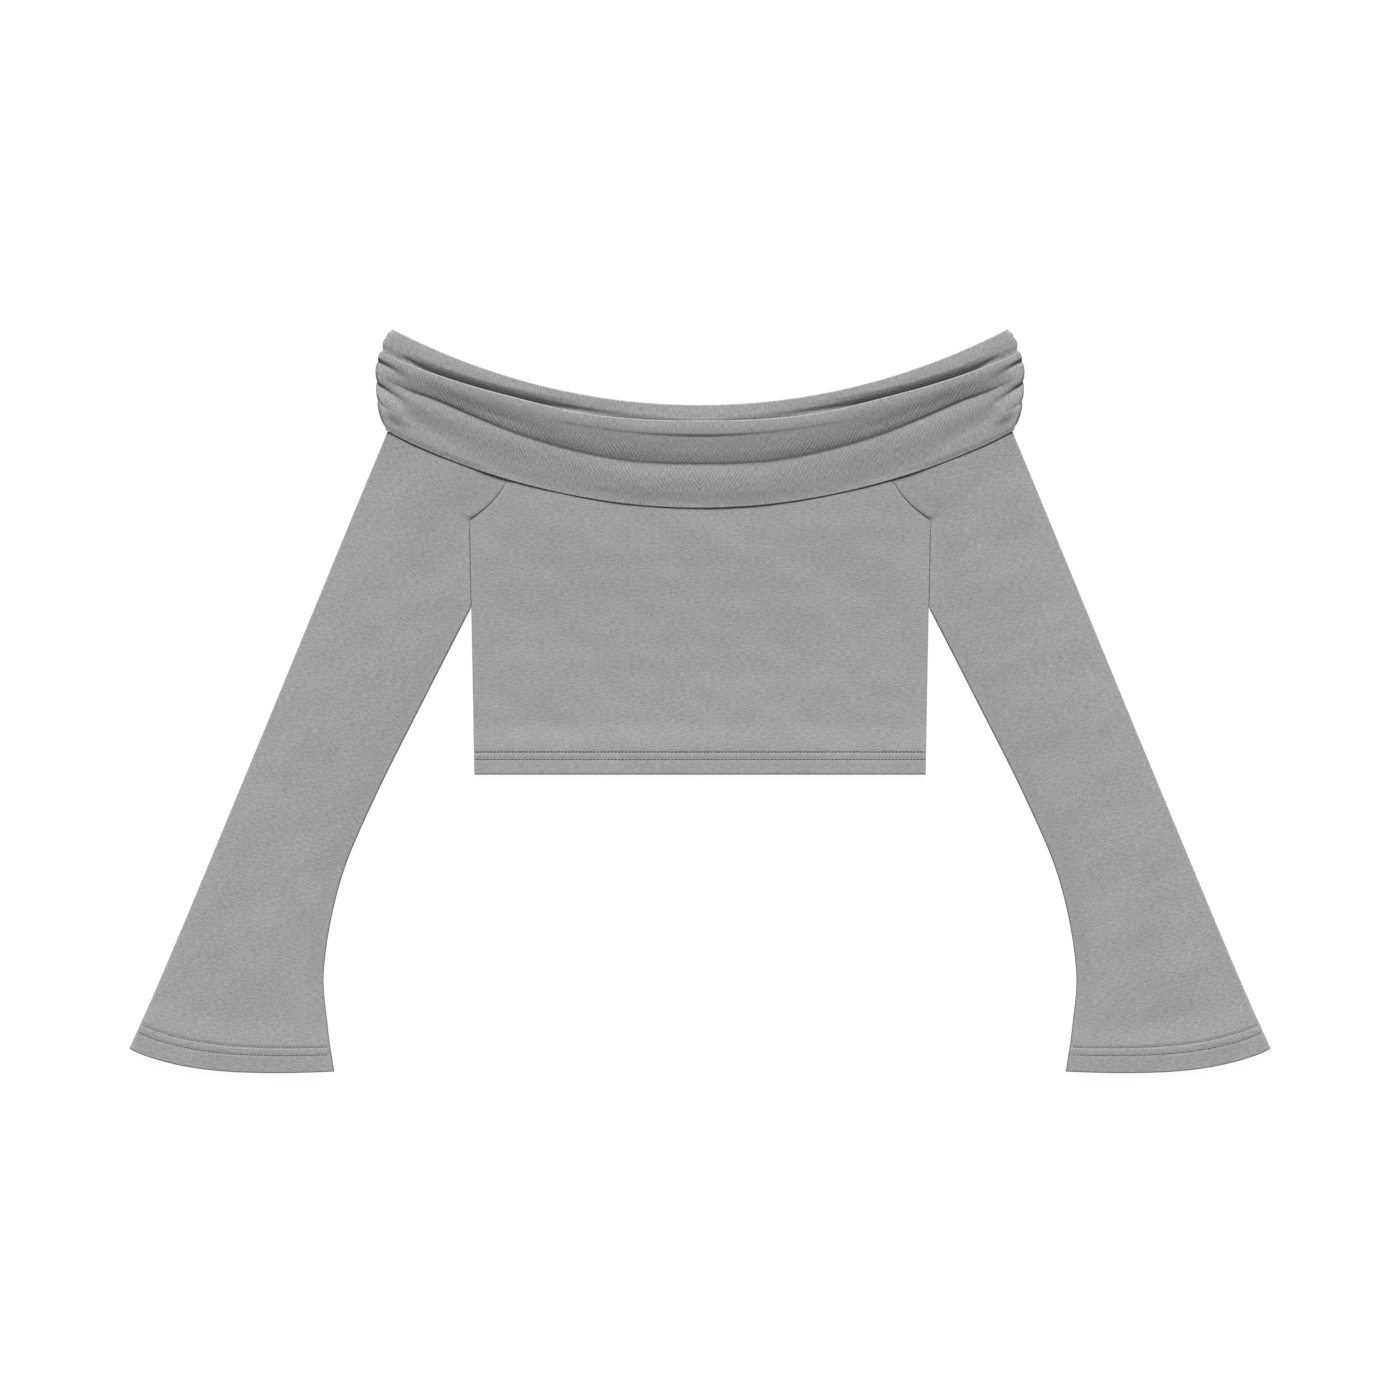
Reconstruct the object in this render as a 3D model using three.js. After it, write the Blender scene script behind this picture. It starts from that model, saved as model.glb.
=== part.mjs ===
// Off-shoulder top in grey jersey, laid flat on a table with its front up.
// It is cut as a front, a back, two flared sleeves and a deep doubled collar in two halves.
// The collar is folded over at the neckline and gathered at both shoulders.
//
// Garment frame, in millimetres: x runs across from the centre front, y up from the body hem,
// z up from the table. The group at the end moves the middle of the outline to the origin.
import * as THREE from 'three';

const { lerp, smoothstep } = THREE.MathUtils;

// Cloth
const CLOTH = 1.0; // one layer of jersey
const HEM_CLOTH = 1.6; // the same jersey turned up once and pressed
const COLLAR_CLOTH = 2.0; // the collar is two layers
const SEAM = 0.3; // clearance where two pieces are sewn together

// Body
const BUST_HALF = 191; // half the flat width at the underarm
const HEM_HALF = 187;
const UNDERARM_Y = 212;
const HEM_DEPTH = 21;
const BODY_CROWN = 0.9; // how far the front stands off the back in the middle

// Neckline: an arc that all the collar's folds follow. A drop is measured down from it.
const NECK_Y = 306.7; // top edge at the centre
const NECK_RADIUS = 548;
const NECK_SEAM_DROP = 30; // where the collar is sewn to the panels, under its own fold
const COLLAR_DEPTH = 86;

// Heights above the table under the collar, from the table upwards
const BACK_FALL_Z = 1.0; // middle of the back collar's outer part, which lies on the table
const PANEL_LIFT = 3.9; // the back panels ride over that part
const LIFT_DROPS = { flat: 128, lifted: 62 }; // they climb between these drops
const FRONT_LIFT_DROPS = { flat: 230, lifted: 40 }; // the front bridges them more gently
const BRIDGE = { from: 150, to: 190 }; // between these distances from the centre it dies out
const BACK_STAND_Z = 4.9; // middle of the back collar's inner part
const FRONT_STAND_Z = 7.3; // middle of the front collar's inner part
const STAND_HALF = 240; // half length of the neckline seam on the front

// Armhole seam on the left of the picture, from the underarm to the neckline seam
const ARMHOLE = new THREE.CubicBezierCurve(
  new THREE.Vector2(BUST_HALF, UNDERARM_Y),
  new THREE.Vector2(172, 224.5),
  new THREE.Vector2(155, 234),
  new THREE.Vector2(146, neckArc(146) - NECK_SEAM_DROP),
);

// Sleeve, one row for each ring from the neckline to the cuff, as distances from the centre front.
// bow is how far the ring's middle lies below a straight line, and crown how far the cloth stands off.
const SLEEVE_RINGS = [
  { at: 0.0, outerX: 239.5, outerY: 330.4, innerX: 146.0, innerY: 295.6, bow: 2.6, crown: 0.2 },
  { at: 0.09, outerX: 256.5, outerY: 290.5, innerX: 160.5, innerY: 243.0, bow: 1.5, crown: 0.3 },
  { at: 0.17, outerX: 274.0, outerY: 249.0, innerX: 191.0, innerY: 212.0, bow: 0.5, crown: 0.6 },
  { at: 0.3, outerX: 299.2, outerY: 188.0, innerX: 189.6, innerY: 139.0, bow: 0, crown: 1.6 },
  { at: 0.45, outerX: 332.2, outerY: 108.0, innerX: 229.1, innerY: 61.8, bow: 0, crown: 1.8 },
  { at: 0.6, outerX: 367.4, outerY: 22.7, innerX: 270.6, innerY: -21.2, bow: 0, crown: 1.8 },
  { at: 0.72, outerX: 396.6, outerY: -47.6, innerX: 298.0, innerY: -87.6, bow: 1.0, crown: 1.8 },
  { at: 0.85, outerX: 429.0, outerY: -125.5, innerX: 312.0, innerY: -161.0, bow: 3.5, crown: 1.6 },
  { at: 0.94, outerX: 456.6, outerY: -190.0, innerX: 308.6, innerY: -211.0, bow: 8.0, crown: 1.2 },
  { at: 1.0, outerX: 473.3, outerY: -227.0, innerX: 303.4, innerY: -246.4, bow: 10.4, crown: 0.8 },
];
const ARMHOLE_TOP = 0; // ring positions of the corners in the sleeve's inner edge
const ARMHOLE_END = 0.17;
const SIDE_END = 0.3; // here the sleeve leaves the body's side
const CUFF_HEM_START = 0.965;
const CUFF_SKEW = 0.75; // the cuff's curve is fuller towards its outer corner
const SLEEVE_EDGE_GAP = 0.6; // room between the two layers at the fold

// Front collar, one row for each distance from the centre front.
// roll, valley and soft are the drops of its top fold, its deep crease and its shallow trough,
// and ridge, floor, crest and low the heights of the cloth at the roll, the crease, just past the
// crease and in the trough.
const FRONT_FOLDS = [
  { x: 0, roll: 12.5, valley: 48.5, soft: 76, ridge: 13.4, floor: 9.0, crest: 11.6, low: 9.5 },
  { x: 55, roll: 13.3, valley: 49.5, soft: 74, ridge: 13.6, floor: 9.0, crest: 11.6, low: 9.5 },
  { x: 100, roll: 14.3, valley: 46.5, soft: 68, ridge: 14.0, floor: 9.1, crest: 11.7, low: 9.5 },
  { x: 170, roll: 15.0, valley: 42.3, soft: 59, ridge: 14.2, floor: 9.2, crest: 11.8, low: 9.6 },
  { x: 215, roll: 18.3, valley: 39.0, soft: 60, ridge: 13.8, floor: 9.6, crest: 11.8, low: 9.8 },
  { x: 245, roll: 20.5, valley: 43.0, soft: 63, ridge: 12.6, floor: 9.9, crest: 11.4, low: 9.8 },
  { x: 268, roll: 21.5, valley: 46.0, soft: 66, ridge: 11.2, floor: 9.8, crest: 10.8, low: 9.6 },
];
const CREST_AFTER = 5.5; // from the bottom of the deep crease to the next crest
const CENTRE_CREASE = { drop: 25, reach: 125, depth: 1.5 };

// Gathers, one row for each: where it starts at the shoulder, where it dies out, and its depth
const GATHERS = [
  { edgeDrop: 7.5, innerDrop: 10, reach: 22, depth: 1.0 },
  { edgeDrop: 30.4, innerDrop: 36.5, reach: 34, depth: 2.0 },
  { edgeDrop: 49.6, innerDrop: 57, reach: 34, depth: 2.2 },
  { edgeDrop: 66.3, innerDrop: 74.5, reach: 34, depth: 2.2 },
];
const GATHER_WIDTH = 3.6;
const GATHER_NOTCH = 1.2; // how far a gather nicks the outline

// Half length of the collar at the shoulder, and the height of the front's cloth there, one row
// for each drop. Below the stand the front turns down at its end to meet the back.
const SHOULDER = [
  { drop: 0, half: 255.6, z: 9.7 },
  { drop: 8, half: 260.6, z: 9.7 },
  { drop: 14, half: 263.0, z: 9.7 },
  { drop: 22, half: 264.8, z: 9.7 },
  { drop: 40, half: 268.6, z: 6.9 },
  { drop: 57, half: 269.2, z: 6.5 },
  { drop: 72, half: 267.0, z: 6.9 },
  { drop: 87, half: 261.0, z: 7.4 },
];
const SHOULDER_ROUND = 20; // the front collar comes down over this length at each shoulder

// Back collar's inner part, whose top strip shows above the front, one row for each distance from
// the centre. It rises to its crest, runs on to the brink and falls to the foot of the opening.
const STRIP = [
  { x: 0, crest: 7.6, brink: 10.6, foot: 14.6, floor: 4.9 },
  { x: 60, crest: 7.6, brink: 10.4, foot: 14.4, floor: 4.7 },
  { x: 100, crest: 8.0, brink: 8.8, foot: 11.6, floor: 3.7 },
  { x: 135, crest: 8.0, brink: 7.6, foot: 10.2, floor: 3.5 },
  { x: 170, crest: 8.0, brink: 7.4, foot: 10.0, floor: 3.5 },
  { x: 206, crest: 7.8, brink: 8.4, foot: 11.2, floor: 3.6 },
  { x: 226, crest: 7.2, brink: 12.0, foot: 15.0, floor: 4.0 },
  { x: 241, crest: 6.4, brink: 16.0, foot: 18.8, floor: 4.6 },
  { x: 268, crest: 5.1, brink: 18.0, foot: 20.5, floor: 4.8 },
];
const STRIP_CREST_DROP = 6;
const STRIP_FLATTEN = 0.5; // the brink is this much lower than the crest
const BACK_FALL_DEPTH = 84.5;
const BACK_RELIEF = 0.33; // the back's folds are pressed to this share of the front's

const GREY = new THREE.Color().setRGB(0.35, 0.347, 0.345);

// Value of one column of a table between its rows, eased so that the slope runs on
function along(rows, by, key, at) {
  const last = rows.length - 1;
  if (at <= rows[0][by]) return rows[0][key];
  if (at >= rows[last][by]) return rows[last][key];
  const i = rows.findIndex((row) => row[by] > at) - 1;
  const slope = (k) => {
    const a = rows[Math.max(k - 1, 0)];
    const b = rows[Math.min(k + 1, last)];
    return k === 0 ? 0 : (b[key] - a[key]) / (b[by] - a[by]);
  };
  const span = rows[i + 1][by] - rows[i][by];
  const t = (at - rows[i][by]) / span;
  const t2 = t * t;
  const t3 = t2 * t;
  return (
    (2 * t3 - 3 * t2 + 1) * rows[i][key] +
    (t3 - 2 * t2 + t) * span * slope(i) +
    (3 * t2 - 2 * t3) * rows[i + 1][key] +
    (t3 - t2) * span * slope(i + 1)
  );
}

function steps(count) {
  return Array.from({ length: count + 1 }, (_, i) => i / count);
}

function bump(distance, width) {
  return Math.exp(-((distance / width) ** 2));
}

function neckArc(x) {
  return NECK_Y + NECK_RADIUS - Math.sqrt(NECK_RADIUS ** 2 - x ** 2);
}

// Height of the table side of the back layers, which climb over the back collar
function panelLift(x, y) {
  const drop = neckArc(x) - y;
  return PANEL_LIFT * (1 - smoothstep(drop, LIFT_DROPS.lifted, LIFT_DROPS.flat));
}

// How far the front layers bridge over the back ones below the collar
function bridge(x, y) {
  const drop = neckArc(x) - y;
  const front = 1 - smoothstep(drop, FRONT_LIFT_DROPS.lifted, FRONT_LIFT_DROPS.flat);
  return PANEL_LIFT * front - panelLift(x, y);
}

// Closed solid between an outer and an inner grid of points. From row closedFrom on, the first and
// last columns are the same points, so the wall is a tube there and has no side edge.
function shell(outer, inner, closedFrom = Infinity) {
  const rows = outer.length;
  const columns = outer[0].length;
  const positions = [...outer.flat(), ...inner.flat()].flatMap((p) => [p.x, p.y, p.z]);
  const index = [];
  const out = (i, j) => i * columns + j;
  const into = (i, j) => rows * columns + i * columns + j;
  const quad = (a, b, c, d) => index.push(a, b, c, a, c, d);
  for (let i = 0; i < rows - 1; i++) {
    for (let j = 0; j < columns - 1; j++) {
      quad(out(i, j), out(i, j + 1), out(i + 1, j + 1), out(i + 1, j));
      quad(into(i, j), into(i + 1, j), into(i + 1, j + 1), into(i, j + 1));
    }
    if (i < closedFrom) {
      quad(out(i + 1, 0), into(i + 1, 0), into(i, 0), out(i, 0));
      const j = columns - 1;
      quad(out(i, j), into(i, j), into(i + 1, j), out(i + 1, j));
    }
  }
  for (let j = 0; j < columns - 1; j++) {
    quad(out(0, j), into(0, j), into(0, j + 1), out(0, j + 1));
    const i = rows - 1;
    quad(out(i, j + 1), into(i, j + 1), into(i, j), out(i, j));
  }
  const geometry = new THREE.BufferGeometry();
  geometry.setAttribute('position', new THREE.Float32BufferAttribute(positions, 3));
  geometry.setIndex(index);
  return facingOut(geometry);
}

// Turns the triangles round if the solid's signed volume is negative
function facingOut(geometry) {
  const p = geometry.getAttribute('position');
  const corner = (k) => new THREE.Vector3().fromBufferAttribute(p, geometry.index.getX(k));
  let volume = 0;
  for (let k = 0; k < geometry.index.count; k += 3) {
    volume += corner(k).dot(corner(k + 1).cross(corner(k + 2)));
  }
  if (volume < 0) geometry.setIndex(Array.from(geometry.index.array).reverse());
  geometry.computeVertexNormals();
  return geometry;
}

// Outer and inner grids half a thickness to each side of a grid of middle points
function thicken(middle, thickness) {
  const rows = middle.length - 1;
  const columns = middle[0].length - 1;
  const grids = { outer: [], inner: [] };
  middle.forEach((line, i) => {
    const normals = line.map((_, j) => {
      const along = middle[Math.min(i + 1, rows)][j].clone().sub(middle[Math.max(i - 1, 0)][j]);
      const across = line[Math.min(j + 1, columns)].clone().sub(line[Math.max(j - 1, 0)]);
      return along.cross(across).normalize();
    });
    grids.outer.push(line.map((p, j) => p.clone().addScaledVector(normals[j], thickness / 2)));
    grids.inner.push(line.map((p, j) => p.clone().addScaledVector(normals[j], -thickness / 2)));
  });
  return grids;
}

// Front or back panel. Rows run from the hem to the neckline seam, columns from side to side.
function panel(isFront) {
  const sideRows = [0, 0.045, 0.099, 0.12, 0.3, 0.5, 0.68, 0.84, 1].map(
    (t) => new THREE.Vector2(lerp(HEM_HALF, BUST_HALF, t), t * UNDERARM_Y),
  );
  const armholeRows = steps(7).slice(1).map((t) => ARMHOLE.getPoint(t));
  const top = [];
  const under = [];
  for (const edge of [...sideRows, ...armholeRows]) {
    const follow = smoothstep(edge.y, UNDERARM_Y * 0.8, ARMHOLE.v3.y);
    const topLine = [];
    const underLine = [];
    for (const s of steps(16)) {
      const share = Math.sin((s - 0.5) * Math.PI);
      const x = share * edge.x;
      const y = edge.y - follow * (neckArc(edge.x) - neckArc(x));
      const hem = 1 - smoothstep(y, HEM_DEPTH - 1, HEM_DEPTH + 3);
      const thickness = lerp(CLOTH, HEM_CLOTH, hem);
      let z = panelLift(x, y);
      if (isFront) z += thickness + SEAM + frontGap(x, y, share);
      topLine.push(new THREE.Vector3(x, y, z + thickness));
      underLine.push(new THREE.Vector3(x, y, z));
    }
    top.push(topLine);
    under.push(underLine);
  }
  return shell(top, under);
}

// How far the front stands off the back, over the clearance of the seam
function frontGap(x, y, share) {
  const drop = neckArc(x) - y;
  const belowCollar = smoothstep(drop, LIFT_DROPS.lifted, LIFT_DROPS.flat);
  const crown = BODY_CROWN * (1 - share ** 4) * lerp(0.2, 1, belowCollar);
  const bridged = bridge(x, y) * (1 - smoothstep(Math.abs(x), BRIDGE.from, BRIDGE.to));
  const toStand = FRONT_STAND_Z - COLLAR_CLOTH / 2 - (PANEL_LIFT + CLOTH + SEAM);
  const sewn = 1 - smoothstep(drop, NECK_SEAM_DROP, NECK_SEAM_DROP + 22);
  return crown + bridged + toStand * sewn;
}

// Inner edge of the sleeve: the armhole seam, the body's side, then its own underarm fold
function sleeveInnerEdge(at) {
  if (at > SIDE_END) {
    const x = along(SLEEVE_RINGS, 'at', 'innerX', at);
    return new THREE.Vector2(x, along(SLEEVE_RINGS, 'at', 'innerY', at));
  }
  const offset = SEAM * 1.5;
  if (at > ARMHOLE_END) {
    const y = lerp(UNDERARM_Y, 139, (at - ARMHOLE_END) / (SIDE_END - ARMHOLE_END));
    return new THREE.Vector2(lerp(HEM_HALF, BUST_HALF, y / UNDERARM_Y) + offset, y);
  }
  const t = 1 - (at - ARMHOLE_TOP) / (ARMHOLE_END - ARMHOLE_TOP);
  const across = ARMHOLE.getTangent(t);
  const outward = new THREE.Vector2(across.y, -across.x);
  return ARMHOLE.getPoint(t).addScaledVector(outward, offset);
}

// Sleeve as a flattened tube. Each ring runs from its underarm edge along the table to the outer
// fold and back over the top. Down to the underarm its two layers are open to the body.
function sleeve(side) {
  const ringsAt = [
    0, 0.035, 0.065, 0.09, 0.115, 0.14, 0.17, 0.2, 0.25, 0.3, 0.35, 0.4, 0.45, 0.525, 0.6, 0.66,
    0.72, 0.76, 0.8, 0.85, 0.9, 0.94, 0.96, 0.972, 1,
  ];
  const foldAngles = [0, 45, 90].map(THREE.MathUtils.degToRad);
  const flats = [0.07, 0.18, 0.33, 0.5, 0.67, 0.82, 0.93];
  const outerRings = [];
  const innerRings = [];
  for (const at of ringsAt) {
    const outerEdge = new THREE.Vector2(
      along(SLEEVE_RINGS, 'at', 'outerX', at),
      along(SLEEVE_RINGS, 'at', 'outerY', at),
    );
    const innerEdge = sleeveInnerEdge(at);
    const across = innerEdge.clone().sub(outerEdge);
    const width = across.length();
    const down = new THREE.Vector2(-across.y, across.x).divideScalar(width);
    const bow = along(SLEEVE_RINGS, 'at', 'bow', at);
    const crown = along(SLEEVE_RINGS, 'at', 'crown', at);
    const open = at < ARMHOLE_END - 1e-6;
    const hem = smoothstep(at, CUFF_HEM_START - 0.005, CUFF_HEM_START + 0.007);
    const thickness = lerp(CLOTH, HEM_CLOTH, hem);
    const half = thickness + SLEEVE_EDGE_GAP / 2;

    // A point of the ring: u along it from the outer fold, and a height from its middle plane.
    // The upper layer rises over that by the crown, less so where it turns into the fold.
    const place = (u, height, layer, turned) => {
      const t = u / width;
      const bowed = bow * Math.max(Math.sin(Math.PI * t ** lerp(1, CUFF_SKEW, at)), 0);
      const plan = outerEdge.clone().lerp(innerEdge, t).addScaledVector(down, bowed);
      const z = panelLift(plan.x, plan.y) + half + layer * height;
      const raised = crown + bridge(plan.x, plan.y);
      const middle = Math.max(Math.sin(Math.PI * t), 0) ** 0.8;
      const crowned = raised * middle + standRise(plan.x, plan.y);
      return new THREE.Vector3(side * plan.x, plan.y, z + (layer > 0 ? crowned * turned : 0));
    };
    const core = half - thickness;
    const layerOf = (layer) => {
      const outside = [];
      const inside = [];
      for (const angle of foldAngles) {
        const turned = Math.sin(angle);
        outside.push(place(half * (1 - Math.cos(angle)), half * turned, layer, turned));
        inside.push(place(half - core * Math.cos(angle), core * turned, layer, turned));
      }
      for (const t of flats) {
        outside.push(place(t * width, half, layer, 1));
        inside.push(place(t * width, core, layer, 1));
      }
      for (const angle of [...foldAngles].reverse()) {
        const turned = open ? 1 : Math.sin(angle);
        const bite = half * (1 - Math.cos(angle));
        const inset = open ? bite : half - core * Math.cos(angle);
        outside.push(place(width - bite, half * turned, layer, turned));
        inside.push(place(width - inset, core * turned, layer, turned));
      }
      return { outside, inside };
    };
    const lower = layerOf(-1);
    const upper = layerOf(1);
    outerRings.push([...lower.outside.reverse(), ...upper.outside.slice(1)]);
    innerRings.push([...lower.inside.reverse(), ...upper.inside.slice(1)]);
  }
  return shell(outerRings, innerRings, ringsAt.indexOf(ARMHOLE_END));
}

// The upper layer of the sleeve climbs to the front collar's inner part at the neckline seam
function standRise(x, y) {
  const drop = neckArc(x) - y;
  const layers = 2 * CLOTH + SLEEVE_EDGE_GAP - CLOTH;
  const toStand = FRONT_STAND_Z - COLLAR_CLOTH / 2 - (PANEL_LIFT + layers);
  return toStand * (1 - smoothstep(drop, NECK_SEAM_DROP, NECK_SEAM_DROP + 22));
}

// Gathers at the shoulders, as a depth below the smooth cloth
function gatherDepth(x, drop) {
  let depth = 0;
  for (const gather of GATHERS) {
    const inward = along(SHOULDER, 'drop', 'half', gather.edgeDrop) - Math.abs(x);
    const share = Math.min(Math.max(inward / gather.reach, 0), 1);
    const line = lerp(gather.edgeDrop, gather.innerDrop, share);
    depth += gather.depth * (1 - share) ** 0.7 * bump(drop - line, GATHER_WIDTH);
  }
  return depth;
}

function shoulderHalf(drop) {
  const notch = GATHERS.reduce((sum, g) => sum + bump(drop - g.edgeDrop, GATHER_WIDTH), 0);
  return along(SHOULDER, 'drop', 'half', drop) - GATHER_NOTCH * notch;
}

// Height of the front collar's outer part, without its gathers
function frontFallHeight(x, drop) {
  const at = Math.abs(x);
  const row = (key) => along(FRONT_FOLDS, 'x', key, at);
  const valley = row('valley');
  if (drop < valley) {
    const roll = row('roll');
    const share = Math.max(drop - roll, 0) / (valley - roll);
    const reach = 1 - smoothstep(at, CENTRE_CREASE.reach * 0.6, CENTRE_CREASE.reach);
    const crease = CENTRE_CREASE.depth * reach * bump(drop - CENTRE_CREASE.drop, GATHER_WIDTH);
    return lerp(row('ridge'), row('floor'), share ** 1.3) - crease;
  }
  const past = lerp(row('crest'), row('low'), smoothstep(drop, valley + 4, row('soft')));
  return lerp(row('floor'), past, smoothstep(drop, valley, valley + CREST_AFTER));
}

// Distances from the centre as shares of the half length, closer together at the shoulders
function collarStations(count) {
  return steps(count).map((s) => {
    const side = 2 * s - 1;
    return Math.sign(side) * (1 - (1 - Math.abs(side)) ** 1.45);
  });
}

// Front collar: sewn to the neckline, up its inner part, over the roll and down its outer part
function frontCollar() {
  const middle = collarStations(48).map((share) => {
    const at = (half) => share * half;
    const put = (x, drop, z) => new THREE.Vector3(x, neckArc(x) - drop, z);
    const line = [];
    const roll = along(FRONT_FOLDS, 'x', 'roll', Math.abs(at(STAND_HALF))) + COLLAR_CLOTH / 2;
    const rollHalf = shoulderHalf(roll);
    const topX = at(rollHalf);
    const rollHeight = endedHeight(topX, roll + 2, frontFallHeight(topX, roll + 2));
    const radius = Math.max((rollHeight - FRONT_STAND_Z) / 2, 1.2);
    for (const s of [0, 0.5, 1]) {
      const drop = lerp(NECK_SEAM_DROP - SEAM, roll + radius, s);
      line.push(put(at(lerp(STAND_HALF, rollHalf, s)), drop, FRONT_STAND_Z));
    }
    for (const degrees of [45, 90, 135]) {
      const angle = THREE.MathUtils.degToRad(degrees);
      const z = lerp(FRONT_STAND_Z, rollHeight, (1 - Math.cos(angle)) / 2);
      line.push(put(topX, roll + radius * (1 - Math.sin(angle)), z));
    }
    const valley = along(FRONT_FOLDS, 'x', 'valley', Math.abs(topX));
    const upperDrops = steps(6).map((s) => lerp(roll + radius, valley, s));
    const lowerDrops = steps(8).slice(1).map((s) => lerp(valley, COLLAR_DEPTH, s ** 1.15));
    for (const drop of [...upperDrops, ...lowerDrops]) {
      const x = at(shoulderHalf(drop));
      const z = endedHeight(x, drop, frontFallHeight(x, drop)) - gatherDepth(x, drop) * 0.8;
      line.push(put(x, drop, z));
    }
    return line;
  });
  const { outer, inner } = thicken(middle, COLLAR_CLOTH);
  return shell(outer, inner);
}

// Brings a height down to the shoulder's at the end of the collar
function endedHeight(x, drop, height) {
  const half = shoulderHalf(drop);
  const share = smoothstep(Math.abs(x), half - SHOULDER_ROUND, half);
  return lerp(height, Math.min(along(SHOULDER, 'drop', 'z', drop), height), share);
}

// Back collar: from its free edge along the table to the top roll, then back over the panels
function backCollar() {
  const middle = collarStations(34).map((share) => {
    const line = [];
    const put = (x, drop, z) => line.push(new THREE.Vector3(x, neckArc(x) - drop, z));
    const row = (key) => along(STRIP, 'x', key, Math.abs(share) * 268);
    const edge = COLLAR_CLOTH / 2;
    const radius = (BACK_STAND_Z - BACK_FALL_Z) / 2;
    for (const s of steps(9)) {
      const drop = lerp(BACK_FALL_DEPTH, edge + radius, s);
      const x = share * (shoulderHalf(drop) - 2.5 * smoothstep(drop, 15, 30));
      put(x, drop, BACK_FALL_Z + backRelief(x, drop));
    }
    for (const degrees of [50, 90, 130]) {
      const angle = THREE.MathUtils.degToRad(degrees);
      const drop = edge + radius * (1 - Math.sin(angle));
      const z = lerp(BACK_FALL_Z, BACK_STAND_Z, (1 - Math.cos(angle)) / 2);
      put(share * shoulderHalf(drop), drop, z);
    }
    const profile = [
      { drop: edge + radius, z: lerp(BACK_STAND_Z, row('crest'), 0.55) },
      { drop: STRIP_CREST_DROP, z: row('crest') },
      { drop: row('brink'), z: row('crest') - STRIP_FLATTEN },
      { drop: lerp(row('brink'), row('foot'), 0.55), z: lerp(row('crest'), row('floor'), 0.62) },
      { drop: row('foot'), z: row('floor') },
      { drop: 23.5, z: lerp(row('floor'), BACK_STAND_Z, 0.6) },
      { drop: NECK_SEAM_DROP - SEAM, z: BACK_STAND_Z },
    ];
    for (const { drop, z } of profile) {
      put(share * (shoulderHalf(drop) - 1.5), drop, z);
    }
    return line;
  });
  const { outer, inner } = thicken(middle, COLLAR_CLOTH);
  return shell(outer, inner);
}

// How far the back's folds stand off the table. The garment's weight presses them nearly flat.
function backRelief(x, drop) {
  const folds = Math.min(gatherDepth(x, drop) + backFold(x, drop), 4);
  return folds * BACK_RELIEF * smoothstep(drop, 24, 34) * (1 - smoothstep(drop, 70, 80));
}

// Depth of the long crease on the back, which mirrors the front's
function backFold(x, drop) {
  const valley = along(FRONT_FOLDS, 'x', 'valley', Math.abs(x));
  return 3 * bump(drop - valley, 7);
}

function piece(name, geometry) {
  const material = new THREE.MeshStandardMaterial({ color: GREY, roughness: 0.95, metalness: 0 });
  const mesh = new THREE.Mesh(geometry, material);
  mesh.name = name;
  return mesh;
}

const garment = new THREE.Group();
garment.add(
  piece('body_back', panel(false)),
  piece('body_front', panel(true)),
  piece('sleeve_left', sleeve(-1)),
  piece('sleeve_right', sleeve(1)),
  piece('collar_back', backCollar()),
  piece('collar_front', frontCollar()),
);

// The origin is on the table, under the middle of the outline
const outline = new THREE.Box3().setFromObject(garment);
garment.position.y = -(outline.min.y + outline.max.y) / 2;

const top = new THREE.Group();
top.add(garment);

export default top;
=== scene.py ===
# Off-shoulder top in grey jersey, laid flat and seen from straight above.
# The cloth is modelled from the garment's own measurements, so no simulation runs.
#
# Garment frame, in millimetres: x runs across from the centre front, y up from the body hem and
# z up from the table. A drop is measured down the picture from the arc of the neckline.
import math

import bpy
import numpy as np
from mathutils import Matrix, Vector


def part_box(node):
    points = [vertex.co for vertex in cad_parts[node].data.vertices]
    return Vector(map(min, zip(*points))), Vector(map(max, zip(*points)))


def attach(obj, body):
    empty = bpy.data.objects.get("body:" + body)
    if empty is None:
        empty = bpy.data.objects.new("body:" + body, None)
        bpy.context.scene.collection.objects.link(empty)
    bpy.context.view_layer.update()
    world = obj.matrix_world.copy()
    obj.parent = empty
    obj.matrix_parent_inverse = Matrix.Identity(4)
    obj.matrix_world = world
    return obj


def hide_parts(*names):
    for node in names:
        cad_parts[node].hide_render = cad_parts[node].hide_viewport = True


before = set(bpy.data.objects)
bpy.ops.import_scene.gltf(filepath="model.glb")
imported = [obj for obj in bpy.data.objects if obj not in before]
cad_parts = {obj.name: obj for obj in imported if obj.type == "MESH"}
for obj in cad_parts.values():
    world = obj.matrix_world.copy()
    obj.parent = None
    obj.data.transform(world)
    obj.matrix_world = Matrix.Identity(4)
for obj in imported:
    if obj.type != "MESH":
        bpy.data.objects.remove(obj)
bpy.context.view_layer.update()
HEM_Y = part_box("body_back")[0].y * 1000


def table(columns, rows):
    """Rows of named values."""
    return [dict(zip(columns.split(), row)) for row in rows]


# Cloth
CLOTH = 1.0
HEM_CLOTH = 1.6
COLLAR_CLOTH = 2.0
SEAM = 0.3  # between pieces that are sewn together

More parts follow.
